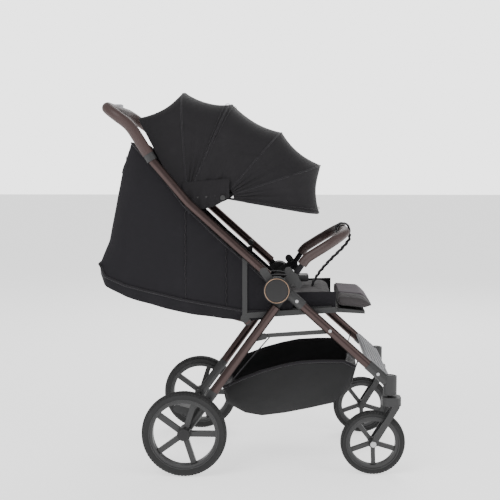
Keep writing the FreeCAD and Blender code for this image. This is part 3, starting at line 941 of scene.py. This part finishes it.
class STROLLER_OT_basket(bpy.types.Operator):
    """Makes the shopping basket, its net ends, binding and webbing hangers"""
    bl_idname = "stroller.basket"
    bl_label = "Basket"

    def execute(self, context):
        sizes, _ = settings()
        looks = palette()
        for side in (-1, 1):
            name = hand(side)

            def wall(t, v, side=side):
                p = track(BASKET_LOW, 0.02 + 0.96 * t).lerp(track(BASKET_TOP, t), v)
                round_in = 0.020 * (1 - v) ** 3
                belly = 0.010 * math.sin(math.pi * v) * math.sin(math.pi * t)
                fold = sizes.wrinkle * crease((p.x, p.y, p.z), 13,
                                              5 * side) * math.sin(math.pi * min(1, v * 1.1))
                return Vector((p.x, side * (0.186 + belly + 0.6 * fold - round_in),
                               p.z - 0.002 * math.sin(t * 19) * v))
            panel = cloth_grid(f"basket_side_{name}", 110, 26, wall)
            thicken(panel, 0.0018, 0.0)
            outward(panel)
            smooth(panel, CLOTH_SMOOTH)
            coat(panel, looks["basket"])
            if side < 0:
                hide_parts("basket")
            hem = [Vector((track(BASKET_TOP, i / 90).x, side * 0.1875, track(BASKET_TOP, i / 90).z + 0.0015))
                   for i in range(91)]
            binding = cord_bead(f"basket_binding_{name}", hem, 0.0042, looks["tape"])
            for piece in (panel, binding):
                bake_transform(piece)
            # webbing hangers from the frame to the basket's corners
            for where, body, route in (
                    ("rear", "rear_frame", [(0.048, side * 0.203, 0.384), (0.010, side * 0.201, 0.340),
                                            (-0.035, side * 0.196, 0.286), (-0.072, side * 0.190, 0.238)]),
                    ("front", "front_frame", [(0.300, side * 0.205, 0.330), (0.292, side * 0.196, 0.302)])):
                hanger = strap(f"basket_hanger_{where}_{name}", [(x + CENTRE, y, z) for x, y, z in route],
                               0.016, 0.002)
                coat(hanger, looks["webbing"])
                if where == "rear":
                    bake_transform(hanger)
                else:
                    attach(hanger, body)

        def bottom(t, b):
            p = track(BASKET_LOW[1:8], t)
            y = (2 * b - 1) * 0.168
            return Vector((p.x, y, p.z + 0.003 - 0.010 * math.sin(math.pi * b) * math.sin(math.pi * t)))
        floor = cloth_grid("basket_floor", 60, 30, bottom)

        def net(b, v):
            p = track(BASKET_LOW[:2], 1 - v)
            y = (2 * b - 1) * (0.168 + 0.018 * v)
            return Vector((p.x - 0.010 * math.sin(math.pi * b), y, p.z - 0.012 * math.sin(math.pi * b) * v))
        rear = cloth_grid("basket_net_rear", 40, 12, net)

        def front_wall(b, v):
            p = track(BASKET_LOW[7:], v)
            y = (2 * b - 1) * (0.168 + 0.018 * v)
            return Vector((p.x + 0.006 * math.sin(math.pi * b), y, p.z))
        front = cloth_grid("basket_net_front", 40, 12, front_wall)
        for piece, look in ((floor, "basket"), (rear, "net"), (front, "net")):
            thicken(piece, 0.0016, 0.0)
            outward(piece)
            smooth(piece, CLOTH_SMOOTH)
            coat(piece, looks[look])
            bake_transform(piece)
        return {"FINISHED"}


# ---------------------------------------------------------------- hard trim
class STROLLER_OT_trim(bpy.types.Operator):
    """Makes the tyres' tread blocks, rim lips, hub rings, fork bolts and the push bar's stitching"""
    bl_idname = "stroller.trim"
    bl_label = "Hard trim"

    def execute(self, context):
        looks = palette()
        wheels = [(f"rear_wheel_{s}", REAR_AXLE_X, y * REAR_WHEEL_Y, REAR_RADIUS, REAR_RADIUS, REAR_TYRE,
                   76, y)
                  for s, y in (("right", -1), ("left", 1))]
        wheels += [(f"front_wheel_{s}", FRONT_AXLE_X, y * FRONT_WHEEL_Y, FRONT_RADIUS, FRONT_RADIUS,
                    FRONT_TYRE, 62, y)
                   for s, y in (("right", -1), ("left", 1))]
        for body, x, y, z, radius, width, count, side in wheels:
            nothing_selected()
            bpy.ops.mesh.primitive_cube_add(size=1, location=(x, y, z + radius - 0.0026))
            tread = bpy.context.object
            tread.name = tread.data.name = f"{body}_tread"
            tread.scale = (radius * math.tau / count * 0.62, width * 0.30, 0.0042)
            placed(tread)
            modify(tread, "BEVEL", width=0.0007, segments=1)
            bpy.ops.object.mode_set(mode="EDIT")
            bpy.ops.mesh.select_all(action="SELECT")
            bpy.ops.mesh.duplicate()
            bpy.ops.transform.translate(value=(radius * math.tau / count * 0.5, width * 0.29, -0.0022))
            bpy.ops.mesh.duplicate()
            bpy.ops.transform.translate(value=(0, -width * 0.58, 0))
            bpy.ops.mesh.select_all(action="SELECT")
            bpy.ops.mesh.spin(steps=count, dupli=True, angle=math.tau, center=(x, y, z), axis=(0, 1, 0))
            bpy.ops.object.mode_set(mode="OBJECT")
            outward(tread)
            smooth(tread, 30)
            dress(tread, looks["tyre"], body)
            for face in (-1, 1):
                lip = self.ring(f"{body}_lip_{'a' if face < 0 else 'b'}", (x, y + face * width * 0.39, z),
                                radius * 0.815, 0.0022, looks["rim"])
                belong(lip, body)
            if radius < 0.1:
                cap = turned_disc(f"{body}_cap", x, y + side * 0.0115, z, 0.0125, 0.003, looks["cap"])
                belong(cap, body)
        for side in (-1, 1):
            name = hand(side)
            y = side * 0.2622
            ring = self.ring(f"hub_ring_{name}", (HUB_X, y, HUB_Z), 0.0335, 0.0012, looks["bronze"])
            face = turned_disc(f"hub_face_{name}", HUB_X, side * 0.2617, HUB_Z, 0.031, 0.0022, looks["cap"],
                               64)
            for piece in (ring, face):
                belong(piece, "front_frame")
            bolt = turned_disc(f"fork_bolt_{name}", FRONT_AXLE_X, side * (FRONT_WHEEL_Y + 0.0262),
                               FRONT_RADIUS, 0.0085, 0.003,
                               looks["steel"])
            belong(bolt, f"fork_{name}")
            lid = self.ring(f"caster_lid_{name}", (0, 0, 0), 0.0135, 0.0016, looks["plastic"], axis="Z",
                            at=(CASTER_X, side * FRONT_WHEEL_Y, 0.2812))
            belong(lid, "front_frame")
        # the sewn seam under the push bar's cover
        points = [(-0.411 + CENTRE, y / 100, 1.0132) for y in range(-15, 16)]
        seam = cord_bead("push_bar_stitch", [Vector(p) for p in points], 0.0009, looks["tape"])
        belong(seam, "handle_frame")
        return {"FINISHED"}

    def ring(self, name, centre, radius, thickness, material, axis="Y", at=None):
        nothing_selected()
        turn = (math.pi / 2, 0, 0) if axis == "Y" else (0, 0, 0)
        bpy.ops.mesh.primitive_torus_add(major_radius=radius, minor_radius=thickness, major_segments=72,
                                         minor_segments=10, location=at or centre, rotation=turn)
        obj = bpy.context.object
        obj.name = obj.data.name = name
        placed(obj)
        smooth(obj, CLOTH_SMOOTH)
        coat(obj, material)
        return obj


class STROLLER_OT_finish_frame(bpy.types.Operator):
    """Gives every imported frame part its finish"""
    bl_idname = "stroller.finish_frame"
    bl_label = "Frame finishes"

    def execute(self, context):
        looks = palette()
        for name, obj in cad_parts.items():
            kind = next((k for k in sorted(CAD_FINISH, key=len, reverse=True) if name.startswith(k)), None)
            material = looks[CAD_FINISH[kind] if kind else "plastic"]
            if not obj.data.materials:
                obj.data.materials.append(material)
            for i in range(len(obj.data.materials)):
                obj.data.materials[i] = material
        return {"FINISHED"}


# ---------------------------------------------------------------- stage
class STROLLER_OT_stage(bpy.types.Operator):
    """Makes the pale floor, soft lights and camera"""
    bl_idname = "stroller.stage"
    bl_label = "Stage"

    def execute(self, context):
        nothing_selected()
        bpy.ops.mesh.primitive_plane_add(size=60, location=(0, 0, 0))
        floor = bpy.context.object
        floor.name = "studio_floor"
        paper = bpy.data.materials.new("studio paper")
        paper.use_nodes = True
        shader = paper.node_tree.nodes["Principled BSDF"]
        shader.inputs["Base Color"].default_value = (0.93, 0.93, 0.93, 1)
        shader.inputs["Roughness"].default_value = 0.95
        shader.inputs["Specular IOR Level"].default_value = 0.1
        shader.inputs["Emission Color"].default_value = (1, 1, 1, 1)
        shader.inputs["Emission Strength"].default_value = 1.1
        coat(floor, paper)
        world = bpy.data.worlds.new("studio")
        bpy.context.scene.world = world
        world.use_nodes = True
        tree = world.node_tree
        sky = tree.nodes["Background"]
        sky.inputs["Color"].default_value = (1, 1, 1, 1)
        # the studio wall is seen brighter than the light that it gives
        path, wall = tree.nodes.new("ShaderNodeLightPath"), tree.nodes.new("ShaderNodeMapRange")
        wall.inputs["To Min"].default_value, wall.inputs["To Max"].default_value = SKY_LIGHT, SKY_SEEN
        tree.links.new(path.outputs["Is Camera Ray"], wall.inputs["Value"])
        tree.links.new(wall.outputs["Result"], sky.inputs["Strength"])
        for name, place, power, size in (
                ("key", (-1.6, -2.6, 3.0), 70, 2.2), ("fill", (2.8, -1.8, 1.8), 26, 2.0),
                ("back", (0.6, 2.6, 2.8), 60, 2.4)):
            bpy.ops.object.light_add(type="AREA", location=place)
            light = bpy.context.object
            light.name = name
            light.data.energy, light.data.size = power, size
            light.rotation_euler = (Vector((0, 0, 0.5)) - Vector(place)).to_track_quat("-Z", "Y").to_euler()
        ahead = Vector((math.sin(YAW) * math.cos(PITCH), math.cos(YAW) * math.cos(PITCH), -math.sin(PITCH)))
        bpy.ops.object.camera_add(location=EYE)
        camera = bpy.context.object
        camera.rotation_euler = ahead.to_track_quat("-Z", "Y").to_euler()
        camera.data.sensor_width, camera.data.lens = SENSOR, LENS
        bpy.context.scene.camera = camera
        return {"FINISHED"}


# ---------------------------------------------------------------- panel and registration
class STROLLER_PT_panel(bpy.types.Panel):
    """Lists the stroller's pieces and settings"""
    bl_label = "Baby Stroller"
    bl_idname = "STROLLER_PT_panel"
    bl_space_type = "VIEW_3D"
    bl_region_type = "UI"
    bl_category = "Stroller"

    def draw(self, context):
        for group_name in ("stroller_sizes", "stroller_colours"):
            box = self.layout.box()
            values = getattr(context.scene, group_name)
            for key in values.bl_rna.properties.keys():
                if key not in ("rna_type", "name"):
                    box.prop(values, key)
        for step in STEPS:
            self.layout.operator(step.bl_idname)


STEPS = (STROLLER_OT_finish_frame, STROLLER_OT_canopy, STROLLER_OT_tub, STROLLER_OT_padding,
         STROLLER_OT_harness, STROLLER_OT_basket, STROLLER_OT_trim, STROLLER_OT_stage)
CLASSES = (StrollerSizes, StrollerColours, *STEPS, STROLLER_PT_panel)


def register():
    for cls in CLASSES:
        bpy.utils.register_class(cls)
    bpy.types.Scene.stroller_sizes = bpy.props.PointerProperty(type=StrollerSizes)
    bpy.types.Scene.stroller_colours = bpy.props.PointerProperty(type=StrollerColours)


def unregister():
    del bpy.types.Scene.stroller_sizes
    del bpy.types.Scene.stroller_colours
    for cls in reversed(CLASSES):
        bpy.utils.unregister_class(cls)


def main():
    register()
    for step in STEPS:
        family, name = step.bl_idname.split(".")
        getattr(getattr(bpy.ops, family), name)()


if __name__ == "__main__":
    main()
